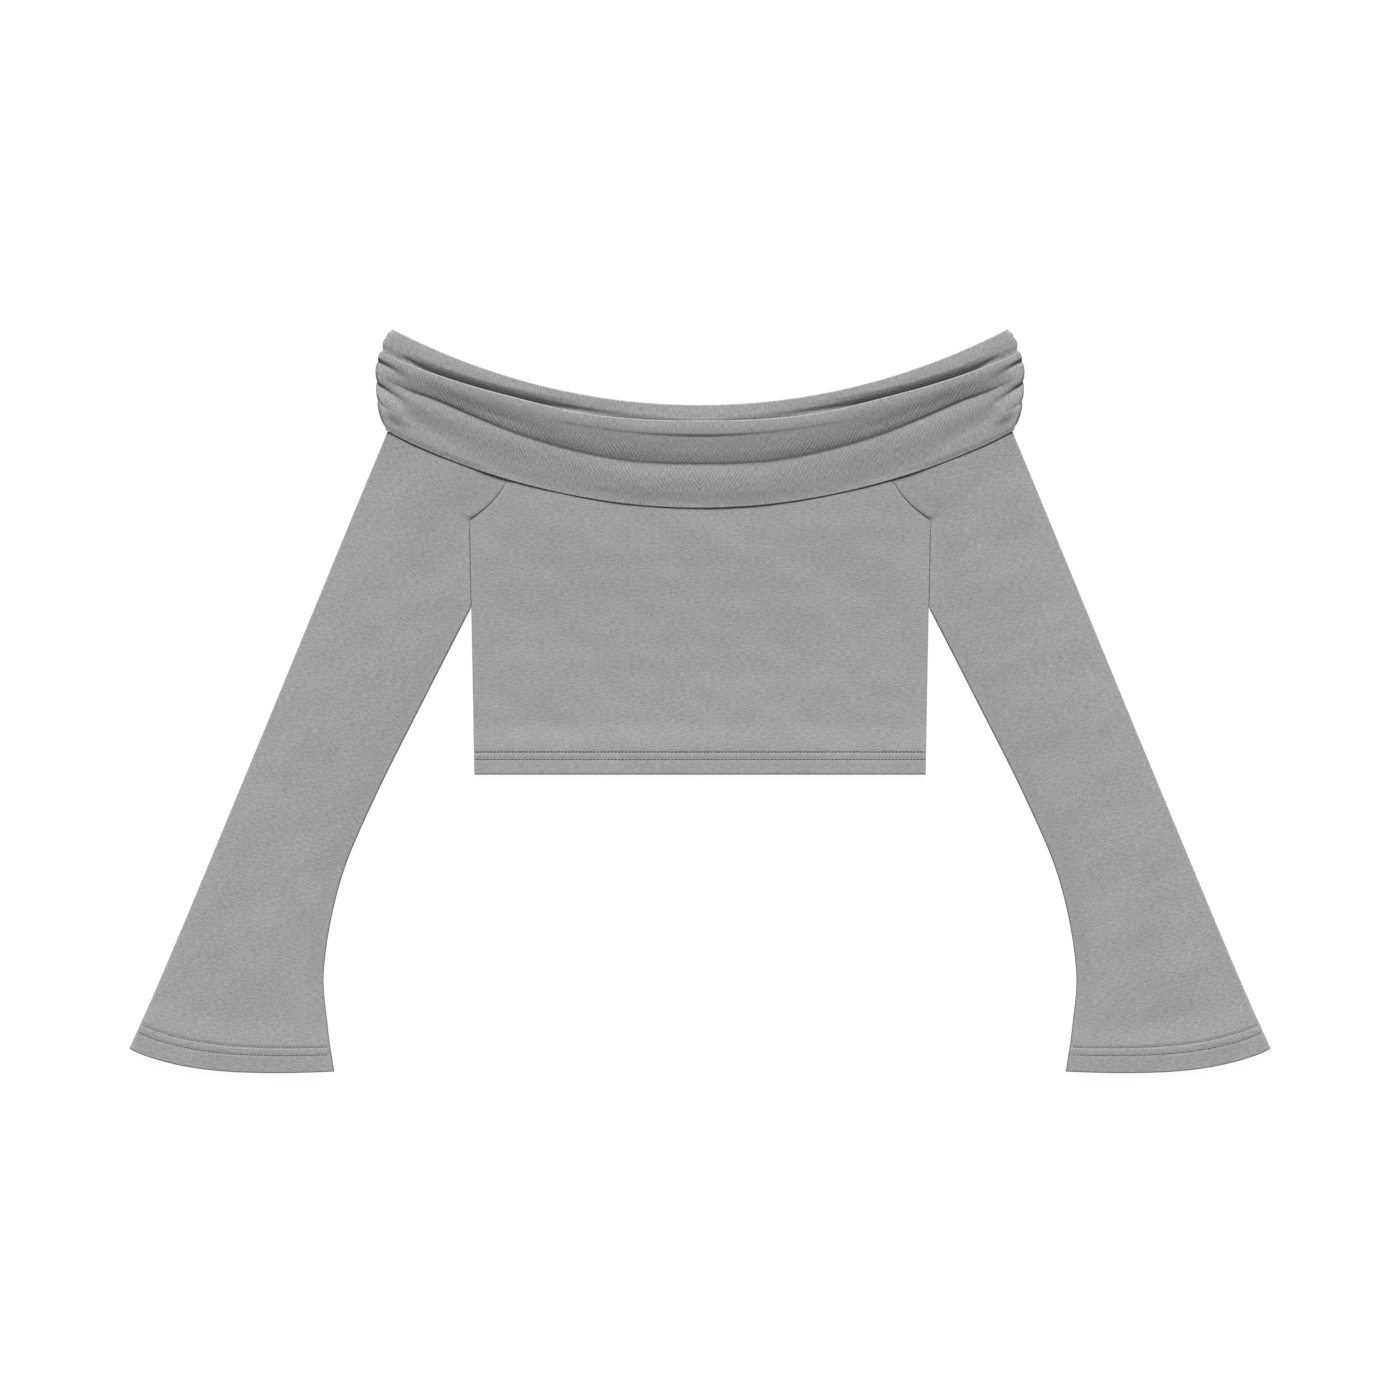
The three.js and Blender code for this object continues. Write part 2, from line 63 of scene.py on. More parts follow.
# Hems: how far up they are turned, where the thick cloth thins out, and the two rows of
# stitching, measured from the edge, with how deep each row sinks
HEM_DEPTH = 21.0
HEM_FADE = (HEM_DEPTH - 4, HEM_DEPTH + 24)
HEM_ROWS = (12.6, 18.9)
HEM_SUNK = (0.3, 0.3)
CUFF_ROWS = (14.3, 20.6)
CUFF_SUNK = (0.3, 0.5)
ROW_WIDTH = 0.6
TUNNEL_HEIGHT = 0.06
PUCKER_HEIGHT = 0.07
PUCKER_LENGTH = 9.0
HEM_STRAIN = 0.15

# Stitches: a short rounded thread, with its girth and how far it sinks at places along it
STITCH = table(
    "at girth sink",
    [(0.0, 0.25, -0.3), (0.12, 0.9, -0.08), (0.5, 1.0, 0.0), (0.88, 0.9, -0.08), (1.0, 0.25, -0.3)],
)
STITCH_LENGTH = 2.6
STITCH_GAP = 0.35
THREAD_RADIUS = 0.36
THREAD_SIDES = 6
THREAD_LIFT = 0.12  # of the thread on the body's hem

# Body: half widths, the underarm, and the armhole's curve up to the neckline seam
BUST_HALF = 191.0
HEM_HALF = 187.0
UNDERARM_Y = 212.0
ARMHOLE_HANDLES = ((172, 224.5), (155, 234))
ARMHOLE_TOP = 146.0
BODY_CROWN = 0.9
BODY_WAVES = ((0.22, 70), (0.10, 26))
SIDE_GROOVE = (3.4, 0.42, 0.9)  # along the side seam: its place, depth and width
EDGE_SINK = (0.35, 1.2)  # its depth and width
BACK_GROW = 0.1  # how far the back's sides stand out past the front's
BACK_GROW_END = (190, 208)

# Neckline, an arc, and how the panels rise over the collar under them
NECK_Y = 306.7
NECK_RADIUS = 548.0
NECK_REACH = 300.0  # further out, the sleeves take the arc to be level
NECK_SEAM_DROP = 30.0
PANEL_LIFT = 3.9
LIFT_DROPS = (62.0, 128.0)
FRONT_LIFT_DROPS = (40.0, 230.0)
BRIDGE = (150.0, 190.0)
SEWN_SLOPE = 22.0
BACK_STAND_Z = 4.9
FRONT_STAND_Z = 7.3
STAND_HALF = 240.0

# Sleeve, one row for each ring from the neckline to the cuff, as in the part's source
SLEEVE_RINGS = table(
    "at outer_x outer_y inner_x inner_y bow crown",
    [
        (0.00, 239.5, 330.4, 146.0, 295.6, 2.6, 0.2),
        (0.09, 256.5, 290.5, 160.5, 243.0, 1.5, 0.3),
        (0.17, 274.0, 249.0, 191.0, 212.0, 0.5, 0.6),
        (0.30, 299.2, 188.0, 189.6, 139.0, 0.0, 1.6),
        (0.45, 332.2, 108.0, 229.1, 61.8, 0.0, 1.8),
        (0.60, 367.4, 22.7, 270.6, -21.2, 0.0, 1.8),
        (0.72, 396.6, -47.6, 298.0, -87.6, 1.0, 1.8),
        (0.85, 429.0, -125.5, 312.0, -161.0, 3.5, 1.6),
        (0.94, 456.6, -190.0, 308.6, -211.0, 8.0, 1.2),
        (1.00, 473.3, -227.0, 303.4, -246.4, 10.4, 0.8),
    ],
)
ARMHOLE_END = 0.17  # the ring at the underarm
SIDE_END = 0.3  # the ring where the sleeve leaves the body's side
SIDE_END_Y = 139.0
ARMHOLE_GAP = 0.2
SIDE_GAP = 0.12
SLEEVE_EDGE_GAP = 0.6
SEAM_SHARE = 5e-5  # keeps the two edges of the tube's seam apart
CUFF_START = 0.93
CUFF_SKEW = 0.75
SLEEVE_WAVES = ((0.25, 60), (0.1, 24))
ARMHOLE_LIP = 0.7
ARMHOLE_LIP_DROPS = (84.0, 96.0)

# Soft swell along the lower sleeve's inner edge
SWELL = 3.0
SWELL_FROM = (0.7, 0.93)
SWELL_RISE = (2.0, 17.0)
SWELL_FALL = (17.0, 75.0)

# Front collar, one row for each distance from the centre front. The cloth falls from the ridge
# behind the roll to the brow, steps down at the valley to the floor of the lowest fold, lies flat
# and then sinks to where it is soft. blur is how wide that step is, cut is the slot in it, and
# edge is the drop of the free edge. The other values are drops and heights.
FRONT_FOLDS = table(
    "x roll ridge valley brow floor flat soft low blur cut edge",
    [
        (0, 13.4, 18.0, 49.4, 10.2, 9.7, 58, 87, 6.85, 1.8, 0.1, 86.0),
        (55, 14.6, 18.0, 50.8, 10.0, 9.7, 59, 88, 6.7, 2.8, 0.0, 86.0),
        (100, 15.9, 18.0, 49.4, 9.9, 9.8, 50, 86, 6.75, 3.2, 0.0, 85.8),
        (150, 15.9, 17.8, 46.6, 10.2, 10.1, 49, 84, 6.55, 3.2, 0.0, 86.0),
        (185, 17.8, 17.4, 43.4, 10.8, 10.4, 48, 80, 7.4, 2.4, 0.15, 86.5),
        (215, 20.1, 16.6, 41.8, 10.9, 10.4, 49, 72, 7.65, 2.2, 0.3, 87.0),
        (240, 22.4, 14.6, 44.3, 10.5, 10.2, 50, 69, 7.5, 2.4, 0.2, 87.6),
        (254, 23.6, 13.2, 45.8, 10.0, 9.9, 52, 65, 7.1, 3.0, 0.0, 87.6),
        (268, 24.2, 12.0, 47.5, 9.7, 9.7, 54, 66, 7.0, 3.0, 0.0, 87.4),
    ],
)
# How much of the way from ridge to brow the cloth has fallen, by its share of the way down
FALL = table(
    "share fallen",
    [(0.0, 0.0), (0.12, 0.02), (0.3, 0.13), (0.55, 0.36), (0.75, 0.58), (0.9, 0.81), (1.0, 1.0)],
)
# The short crease at the centre front
CENTRE_STEP = table(
    "x drop depth",
    [(0, 26.2, 1.0), (55, 26.4, 0.45), (100, 26.9, 0.25), (130, 27.4, 0.0)],
)
CENTRE_STEP_BLUR = (-1.8, 1.0)
# A shallow sag between the roll and the valley, about two thirds of the way to each shoulder
SAG_FROM = (110, 150)
SAG_TO = (205, 240)
SAG_PLACE = 0.68
SAG_DEPTH = 0.45
SAG_WIDTH = 4.5
# The free edge sinks towards the shoulders
LIP = 0.85
LIP_FROM = (165.0, 200.0)
LIP_WIDTH = 6.0

# Collar: half the thickness of its doubled cloth, and the half lengths its tables are read to
COLLAR_HALF = 0.8
FRONT_HALF = 264.0
BACK_HALF = 268.0
# Rolls: the corner's rounding across and in height, how far in the cloth starts below it, and
# how much the doubled cloth thins in the turn, at its ends and at the free edge
ROLL_CORNER = (0.7, 0.75)
ROLL_UNDER = 3.5
ROLL_THIN = 0.4
ROLL_END_THIN = 0.92
ROLL_END_POWER = 30  # keeps that thinning to the very ends
ROLL_WIDTH = 4.0
EDGE_THIN = 0.66
EDGE_WIDTH = 14.0
COLLAR_WAVE = (0.12, 60)

# Gathers at the shoulders: where each starts, where it dies out, how deep it is, and how wide its
# steep upper side and its long lower side are
GATHERS = table(
    "edge inner reach depth near far",
    [
        (32.4, 36.0, 30, 2.7, 1.7, 7.0),
        (51.9, 58.0, 32, 3.4, 1.6, 8.0),
        (67.8, 70.4, 30, 1.0, 1.2, 4.0),
    ],
)
# The puff of cloth between the two lowest gathers, which ends in a broad slope
PUFF_FROM = (236.0, 256.0)
PUFF_RISE = (52.0, 66.0)
PUFF_FALL = (68.4, 79.0)
PUFF_HEIGHT = 2.9
NOTCHES = (9.3, 21.0, 33.5, 50.0, 65.5)
GATHER_NOTCH = 0.9
NOTCH_WIDTH = 2.2

# Half length of the collar at the shoulder and the height of its end
SHOULDER = table(
    "drop half z",
    [
        (0, 255.6, 9.7),
        (6, 259.0, 9.7),
        (14, 262.9, 9.7),
        (22, 264.8, 9.7),
        (30, 266.9, 8.8),
        (41, 268.8, 7.3),
        (50, 268.5, 7.0),
        (60, 268.2, 6.9),
        (72, 266.7, 6.9),
        (80, 264.3, 7.0),
        (85, 261.4, 7.0),
        (88, 259.9, 7.0),
    ],
)
SHOULDER_ROUND = 16.0
# The collar's ends turn down to the layer below them in their last few millimetres
END_REACH = 3.0
END_INSET = 0.45
FRONT_END_Z = 3.1
FRONT_LOW_END_Z = 7.0
FRONT_ROLL_END_Z = 7.4
FRONT_STAND_END_Z = 4.75
BACK_END_Z = 3.4
ROLL_END_DROPS = (29.0, 35.0)
SLEEVE_END_DROPS = (79.0, 86.0)

# Back collar's inner part, whose top strip shows above the front: it lies at the crest's height
# as far as the brink, then sinks to the floor at the foot
STRIP = table(
    "x crest brink foot floor",
    [
        (0, 7.6, 10.5, 13.5, 7.0),
        (55, 7.6, 5.5, 12.5, 6.5),
        (100, 8.0, 6.0, 13.0, 5.0),
        (150, 9.0, 8.4, 14.2, 2.8),
        (200, 9.0, 11.4, 16.8, 2.6),
        (232, 8.2, 12.8, 19.0, 3.0),
        (248, 7.2, 11.4, 19.6, 4.2),
        (256, 6.8, 10.0, 21.5, 4.8),
        (268, 6.2, 9.0, 21.0, 5.0),
    ],
)
STRIP_CORNER = (0.7, 0.75)
STRIP_UNDER = 2.6
STRIP_CROWN = 0.15
STRIP_STAND_DROP = 25.0
BACK_FALL_DEPTH = 84.5
BACK_RELIEF = 0.33

# Camera, in metres: what the frame shows across at the height of the cloth, and its middle
VIEW_WIDTH = 1.161
VIEW_CENTRE = (0.0, 0.0006)
CAMERA_HEIGHT = 5.0
CLOTH_HEIGHT = 0.004
SENSOR_MM = 36

CLOTH_COLOUR = (0.325, 0.322, 0.320)
# The thread's colour holds its own tone and also painted shade of the rows where the stitches sink.
THREAD_AND_SHADE_COLOUR = (0.085, 0.084, 0.083)

# The knit, in millimetres: a wale, which shows as two ridges, a course and the fine ripples
WALE = 0.9
COURSE = 0.7
RIPPLE = 2.9


def lerp(a, b, t):
    return a + (b - a) * t


def smoothstep(x, low, high):
    t = np.clip((x - low) / (high - low), 0, 1)
    return t * t * (3 - 2 * t)


def bump(distance, width):
    return np.exp(-((distance / width) ** 2))


def rounded(share):
    """Quarter of a circle, from 0 at its start to 1."""
    return np.sqrt(np.clip(1 - (1 - np.clip(share, 0, 1)) ** 2, 0, 1))


def along(rows, key, at, by="x", level_start=True):
    """One column of a table between its rows, eased so that the slope runs on."""
    xs = np.array([row[by] for row in rows], float)
    ys = np.array([row[key] for row in rows], float)
    slopes = np.zeros(len(xs))
    slopes[1:-1] = (ys[2:] - ys[:-2]) / (xs[2:] - xs[:-2])
    slopes[-1] = (ys[-1] - ys[-2]) / (xs[-1] - xs[-2])
    if not level_start:
        slopes[0] = (ys[1] - ys[0]) / (xs[1] - xs[0])
    at = np.clip(np.asarray(at, float), xs[0], xs[-1])
    i = np.clip(np.searchsorted(xs, at, side="right") - 1, 0, len(xs) - 2)
    span = xs[i + 1] - xs[i]
    t = (at - xs[i]) / span
    t2 = t * t
    t3 = t2 * t
    start = (2 * t3 - 3 * t2 + 1) * ys[i] + (t3 - 2 * t2 + t) * span * slopes[i]
    return start + (3 * t2 - 2 * t3) * ys[i + 1] + (t3 - t2) * span * slopes[i + 1]


def ripples(u, v, seed, length, waves=7):
    """Smooth irregular waves of about one length, from a fixed seed, between about -1 and 1."""
    rng = np.random.default_rng(seed)
    total = np.zeros(np.broadcast(u, v).shape)
    for _ in range(waves):
        angle, phase = rng.uniform(0, 2 * math.pi, 2)
        k = 2 * math.pi / (length * rng.uniform(0.7, 1.5))
        total += np.sin(k * (u * math.cos(angle) + v * math.sin(angle)) + phase)
    return total / math.sqrt(waves)


def soft_waves(u, v, seed, sizes):
    """Ripples of several heights and lengths, each with the next seed."""
    return sum(h * ripples(u, v, seed + k, length) for k, (h, length) in enumerate(sizes))


def neck_arc(x):
    return NECK_Y + NECK_RADIUS - np.sqrt(NECK_RADIUS**2 - x**2)


def panel_lift(x, y):
    return PANEL_LIFT * (1 - smoothstep(neck_arc(x) - y, *LIFT_DROPS))


def bridge(x, y):
    """How far a top layer stands off a lifted panel, as it comes down more gently."""
    return PANEL_LIFT * (1 - smoothstep(neck_arc(x) - y, *FRONT_LIFT_DROPS)) - panel_lift(x, y)


def rise_to_stand(drop, under):
    """How far a top layer rises to the collar's stand, by its height over the lifted panel."""
    sewn = 1 - smoothstep(drop, NECK_SEAM_DROP, NECK_SEAM_DROP + SEWN_SLOPE)
    return sewn * (FRONT_STAND_Z - COLLAR_CLOTH / 2 - (PANEL_LIFT + under))


def hem_thickness(distance):
    return lerp(CLOTH, HEM_CLOTH, 1 - smoothstep(distance, *HEM_FADE))


def hem_relief(distance, across, seed, rows, depths):
    """Rows of stitching sink into a hem, with a low tunnel between them and faint puckers."""
    middle = sum(rows) / 2
    sunk = sum(-depth * bump(distance - row, ROW_WIDTH) for row, depth in zip(rows, depths))
    tunnel = TUNNEL_HEIGHT * bump(distance - middle, 2.0)
    pucker = ripples(across, distance * 0.25, seed, PUCKER_LENGTH) * PUCKER_HEIGHT
    return sunk + tunnel + pucker * bump(distance - middle, 7.5)


def hem_strain(distance, rows):
    return HEM_STRAIN * bump(distance - sum(rows) / 2, 8)


def shares_across(count, power):
    """Places from -1 to 1, closest together at both ends."""
    s = np.linspace(-1, 1, count)
    return np.sign(s) * (1 - (1 - np.abs(s)) ** power)


# Meshes

def unit(vectors):
    return vectors / np.maximum(np.linalg.norm(vectors, axis=-1, keepdims=True), 1e-9)


def grid_normals(points):
    return unit(np.cross(np.gradient(points, axis=0), np.gradient(points, axis=1)))


def smoothed(grid, axis):
    """A grid averaged with its neighbours along one axis."""
    lines = np.moveaxis(grid, axis, 0)
    ends = np.concatenate([lines[:1], lines, lines[-1:]])
    return np.moveaxis((ends[:-2] + 2 * lines + ends[2:]) / 4, 0, axis)


def edge_loop(rows, columns):
    """Numbers of the points round the edge of a grid, and of each one's neighbour further in."""
    loop = [((0, j), (1, j)) for j in range(columns - 1)]
    loop += [((i, columns - 1), (i, columns - 2)) for i in range(rows - 1)]
    loop += [((rows - 1, j), (rows - 2, j)) for j in range(columns - 1, 0, -1)]
    loop += [((i, 0), (i, 1)) for i in range(rows - 1, 0, -1)]
    numbers = np.array(loop) @ np.array([columns, 1])
    return numbers[:, 0], numbers[:, 1]


def cloth_mesh(name, outer, inner, weave, strain, bulge=0.35):
    """Closed shell between two grids of points in millimetres, with rounded free edges.

    weave is each point's place on the flat cloth, which the knit in the material follows, and
    strain is how much the cloth is drawn into fine ripples there.
    """
    rows, columns = outer.shape[:2]
    count = rows * columns
    upper, lower = outer.reshape(-1, 3), inner.reshape(-1, 3)
    weave, strain = weave.reshape(-1, 2), strain.reshape(-1)
    index = np.arange(count).reshape(rows, columns)
    left, right = index[:, :-1], index[:, 1:]
    top = np.stack([left[:-1], right[:-1], right[1:], left[1:]], axis=-1).reshape(-1, 4)

    here, further = edge_loop(rows, columns)
    middle = (upper[here] + lower[here]) / 2
    outward = unit(middle - (upper[further] + lower[further]) / 2)
    half = np.linalg.norm(upper[here] - lower[here], axis=1, keepdims=True) / 2
    up = unit(upper[here] - lower[here])
    rounds = []
    for degrees in (45, 0, -45):
        angle = math.radians(degrees)
        rounds.append(middle + (outward * math.cos(angle) * bulge + up * math.sin(angle)) * half)
    rings = [here]
    rings += [2 * count + k * len(here) + np.arange(len(here)) for k in range(len(rounds))]
    rings.append(here + count)

    faces = [top, top[:, ::-1] + count]
    for a, b in zip(rings, rings[1:]):
        faces.append(np.stack([a, np.roll(a, -1), np.roll(b, -1), b], axis=-1)[:, ::-1])
    points = np.concatenate([upper, lower, *rounds])
    marks = np.concatenate([weave, weave] + [weave[here]] * len(rounds))
    strains = np.concatenate([strain, strain] + [strain[here]] * len(rounds))
    return mesh_object(name, points, np.concatenate(faces), marks, strains)


def mesh_object(name, points, faces, marks=None, strains=None):
    """Blender object from points in millimetres and faces of four corners."""
    placed = (points + np.array([0, HEM_Y, 0])) / 1000
    corners = placed[faces]
    a = corners[:, 1] - corners[:, 0]
    b = corners[:, 2] - corners[:, 0]
    c = corners[:, 3] - corners[:, 0]
    volume = (corners[:, 0] * (np.cross(a, b) + np.cross(b, c))).sum()
    if volume < 0:
        faces = faces[:, ::-1]
    mesh = bpy.data.meshes.new(name)
    mesh.vertices.add(len(placed))
    mesh.vertices.foreach_set("co", placed.astype(np.float32).ravel())
    mesh.loops.add(faces.size)
    mesh.loops.foreach_set("vertex_index", faces.astype(np.int32).ravel())
    mesh.polygons.add(len(faces))
    mesh.polygons.foreach_set("loop_start", np.arange(0, faces.size, 4, dtype=np.int32))
    mesh.polygons.foreach_set("use_smooth", np.ones(len(faces), bool))
    mesh.update(calc_edges=True)
    mesh.validate()
    if marks is not None:
        weave = mesh.attributes.new("weave", "FLOAT_VECTOR", "POINT")
        flat = np.column_stack([marks, np.zeros(len(marks))]).astype(np.float32)
        weave.data.foreach_set("vector", flat.ravel())
        strain = mesh.attributes.new("strain", "FLOAT", "POINT")
        strain.data.foreach_set("value", strains.astype(np.float32))
    made = bpy.data.objects.new(name, mesh)
    bpy.context.scene.collection.objects.link(made)
    return made


def stitch_faces(base):
    """Faces of one stitch, whose first point has this number: its sides and both its ends."""
    faces = []
    for first in range(base, base + (len(STITCH) - 1) * THREAD_SIDES, THREAD_SIDES):
        for s in range(THREAD_SIDES):
            a = first + s
            b = first + (s + 1) % THREAD_SIDES
            faces.append([a, b, b + THREAD_SIDES, a + THREAD_SIDES])
    last = base + (len(STITCH) - 1) * THREAD_SIDES
    faces += [[base + s for s in half] for half in ((3, 2, 1, 0), (5, 4, 3, 0))]
    faces += [[last + s for s in half] for half in ((0, 1, 2, 3), (0, 3, 4, 5))]
    return faces


def stitch_row(name, path):
    """A row of separate stitches lying along a path, each a short rounded thread."""
    steps = np.linalg.norm(np.diff(path, axis=0), axis=1)
    run = np.concatenate([[0], np.cumsum(steps)])
    starts = np.arange(0.8, run[-1] - STITCH_LENGTH - 0.5, STITCH_LENGTH + STITCH_GAP)
    places = np.array([row["at"] for row in STITCH]) * STITCH_LENGTH
    up = np.array([0.0, 0.0, 1.0])
    points = []
    faces = []
    for start in starts:
        faces += stitch_faces(len(points))
        centre = np.column_stack([np.interp(start + places, run, path[:, k]) for k in range(3)])
        side = unit(np.cross(unit(np.gradient(centre, axis=0)), up))
        for k, row in enumerate(STITCH):
            for s in range(THREAD_SIDES):
                angle = 2 * math.pi * s / THREAD_SIDES
                turn = side[k] * math.cos(angle) + up * math.sin(angle)
                points.append(centre[k] + up * row["sink"] + turn * THREAD_RADIUS * row["girth"])
    return mesh_object(name, np.array(points), np.array(faces))


# Body

def armhole_points(t):
    """Curve of the armhole, from the underarm to the neckline seam."""
    top = (ARMHOLE_TOP, neck_arc(ARMHOLE_TOP) - NECK_SEAM_DROP)
    corners = np.array([(BUST_HALF, UNDERARM_Y), *ARMHOLE_HANDLES, top])
    t = np.asarray(t, float)[:, None]
    shares = [(1 - t) ** 3, 3 * (1 - t) ** 2 * t, 3 * (1 - t) * t * t, t**3]
    return sum(share * corner for share, corner in zip(shares, corners))


def panel_plan(rows_side, rows_armhole, columns, grow=0.0):
    """Plan of a panel: rows from the hem to the neckline seam, columns from side to side."""
    t = np.linspace(0, 1, rows_side)
    side = np.column_stack([lerp(HEM_HALF, BUST_HALF, t), t * UNDERARM_Y])
    side[:, 0] += grow * (1 - smoothstep(side[:, 1], *BACK_GROW_END))
    edge = np.concatenate([side, armhole_points(np.linspace(0, 1, rows_armhole)[1:])])
    share = shares_across(columns, 1.35)
    x = edge[:, :1] * share
    arc_from = UNDERARM_Y * 0.8
    follow = smoothstep(edge[:, 1:], arc_from, neck_arc(ARMHOLE_TOP) - NECK_SEAM_DROP)
    y = edge[:, 1:] - follow * (neck_arc(edge[:, :1]) - neck_arc(x))
    inset = edge[:, :1] - np.abs(x)
    return x, y, np.broadcast_to(share, x.shape), inset


def panel_mesh(name, x, y, top, under):
    outer = np.stack([x, y, top], axis=-1)
    inner = np.stack([x, y, under], axis=-1)
    weave = np.stack([x, y], axis=-1)
    return cloth_mesh(name, outer, inner, weave, hem_strain(y, HEM_ROWS), bulge=0.2)


def make_body_back():
    x, y, _, _ = panel_plan(90, 30, 120, BACK_GROW)
    under = panel_lift(x, y)
    return panel_mesh("body_back_cloth", x, y, under + hem_thickness(y), under)


def make_body_front():
    x, y, share, inset = panel_plan(150, 44, 190)
    drop = neck_arc(x) - y
    thickness = hem_thickness(y)
    crown = BODY_CROWN * (1 - share**4) * lerp(0.2, 1, smoothstep(drop, *LIFT_DROPS))
    bridged = bridge(x, y) * (1 - smoothstep(np.abs(x), *BRIDGE))
    over_back = panel_lift(x, y) + thickness + SEAM + crown + bridged
    under = over_back + rise_to_stand(drop, CLOTH + SEAM)

    calm = smoothstep(inset, 0, 30) * smoothstep(drop, 60, 110)
    waves = soft_waves(x, y, 11, BODY_WAVES) * calm
    below_arm = smoothstep(UNDERARM_Y - y, -4, 2)
    top = under + thickness + waves
    place, depth, width = SIDE_GROOVE
    top = top - depth * bump(inset - place, width) * below_arm
    top = top - EDGE_SINK[0] * bump(inset, EDGE_SINK[1])
    top = top + hem_relief(y, x, 21, HEM_ROWS, HEM_SUNK)
    return panel_mesh("body_front_cloth", x, y, top, under + waves * 0.8)


def hem_stitches(body):
    """Two rows of stitches across the front's hem, lying on its cloth."""
    pieces = []
    for number, distance in enumerate(HEM_ROWS):
        x = np.linspace(-HEM_HALF - 0.5, HEM_HALF + 0.5, 400)
        heights = [height_on(body, float(place), distance) + THREAD_LIFT for place in x]
        path = np.column_stack([x, np.full_like(x, distance), heights])
        pieces.append(stitch_row(f"body_hem_row_{number + 1}", path))
    return pieces


def height_on(piece, x, y):
    """Height of the top of a piece over a point of the garment, in millimetres."""
    hit, place, _, _ = piece.ray_cast((x / 1000, (y + HEM_Y) / 1000, 0.1), (0, 0, -1))
    return place.z * 1000 if hit else 0.0


# Sleeves

def sleeve_plan(at):
    """Outer and inner edge of the rings at these places, as plan points."""
    outer = np.column_stack([along(SLEEVE_RINGS, key, at, "at") for key in ("outer_x", "outer_y")])
    free = [row for row in SLEEVE_RINGS if row["at"] >= SIDE_END]
    inner = np.column_stack([along(free, key, at, "at", False) for key in ("inner_x", "inner_y")])
    y = lerp(UNDERARM_Y, SIDE_END_Y, (at - ARMHOLE_END) / (SIDE_END - ARMHOLE_END))
    side = np.column_stack([lerp(HEM_HALF, BUST_HALF, y / UNDERARM_Y) + SIDE_GAP, y])
    t = np.clip(1 - at / ARMHOLE_END, 0, 1)
    ahead = armhole_points(np.clip(t + 0.01, 0, 1)) - armhole_points(np.clip(t - 0.01, 0, 1))
    outward = unit(np.column_stack([ahead[:, 1], -ahead[:, 0]]))
    hole = armhole_points(t) + outward * ARMHOLE_GAP
    inner = np.where((at <= SIDE_END)[:, None], side, inner)
    inner = np.where((at <= ARMHOLE_END)[:, None], hole, inner)
    return outer, inner


def sleeve_places():
    """Places of the rings, closest together beside the body and in the cuff."""
    stretches = [(0, ARMHOLE_END, 34), (ARMHOLE_END, SIDE_END, 30)]
    stretches += [(SIDE_END, CUFF_START, 110), (CUFF_START, 1.0, 40)]
    return np.unique(np.concatenate([np.linspace(*stretch) for stretch in stretches]))


def ring_shares():
    """Once round a ring, from the underarm seam below, over the outer fold and back on top.

    Gives each column's share of the way from the outer fold to the inner edge, and whether it is
    on top.
    """
    shares = []
    for s in (np.linspace(1, 0, 44)[:-1], np.linspace(0, 1, 72)):
        shares.append((1 - np.cos(s * math.pi)) / 2 * 0.55 + s * 0.45)
    below, top = shares
    below[0] = 1 - SEAM_SHARE
    top[-1] = 1 - SEAM_SHARE
    share = np.concatenate(shares)
    return share, np.arange(len(share)) >= len(below)


def sleeve_rise(at, share, x, y, from_outer, from_inner, seed):
    """How far the top layer stands off a flat tube. at has one value for each ring."""
    near = np.minimum(np.abs(x), NECK_REACH)
    drop = neck_arc(near) - y
    soft = smoothstep(from_inner, -2, 15) * smoothstep(from_outer, -1, 7)
    soft = lerp(1, soft, smoothstep(at, ARMHOLE_END, SIDE_END))
    centre = np.clip(np.sin(math.pi * share), 0, 1) ** 0.8
    full = (along(SLEEVE_RINGS, "crown", at, "at") + bridge(near, y)) * centre * soft
    calm = smoothstep(from_outer, 0, 25) * smoothstep(from_inner, 0, 25) * smoothstep(drop, 70, 120)
    waves = soft_waves(x, y, seed, SLEEVE_WAVES) * calm
    beside_hole = (at < ARMHOLE_END) * smoothstep(drop, *ARMHOLE_LIP_DROPS)
    lip = ARMHOLE_LIP * bump(from_inner, 7) * beside_hole
    swell = SWELL * smoothstep(at, *SWELL_FROM) * smoothstep(from_inner, *SWELL_RISE)
    swell = swell * (1 - smoothstep(from_inner, *SWELL_FALL))
    return full + rise_to_stand(drop, CLOTH + SLEEVE_EDGE_GAP) + waves + lip + swell


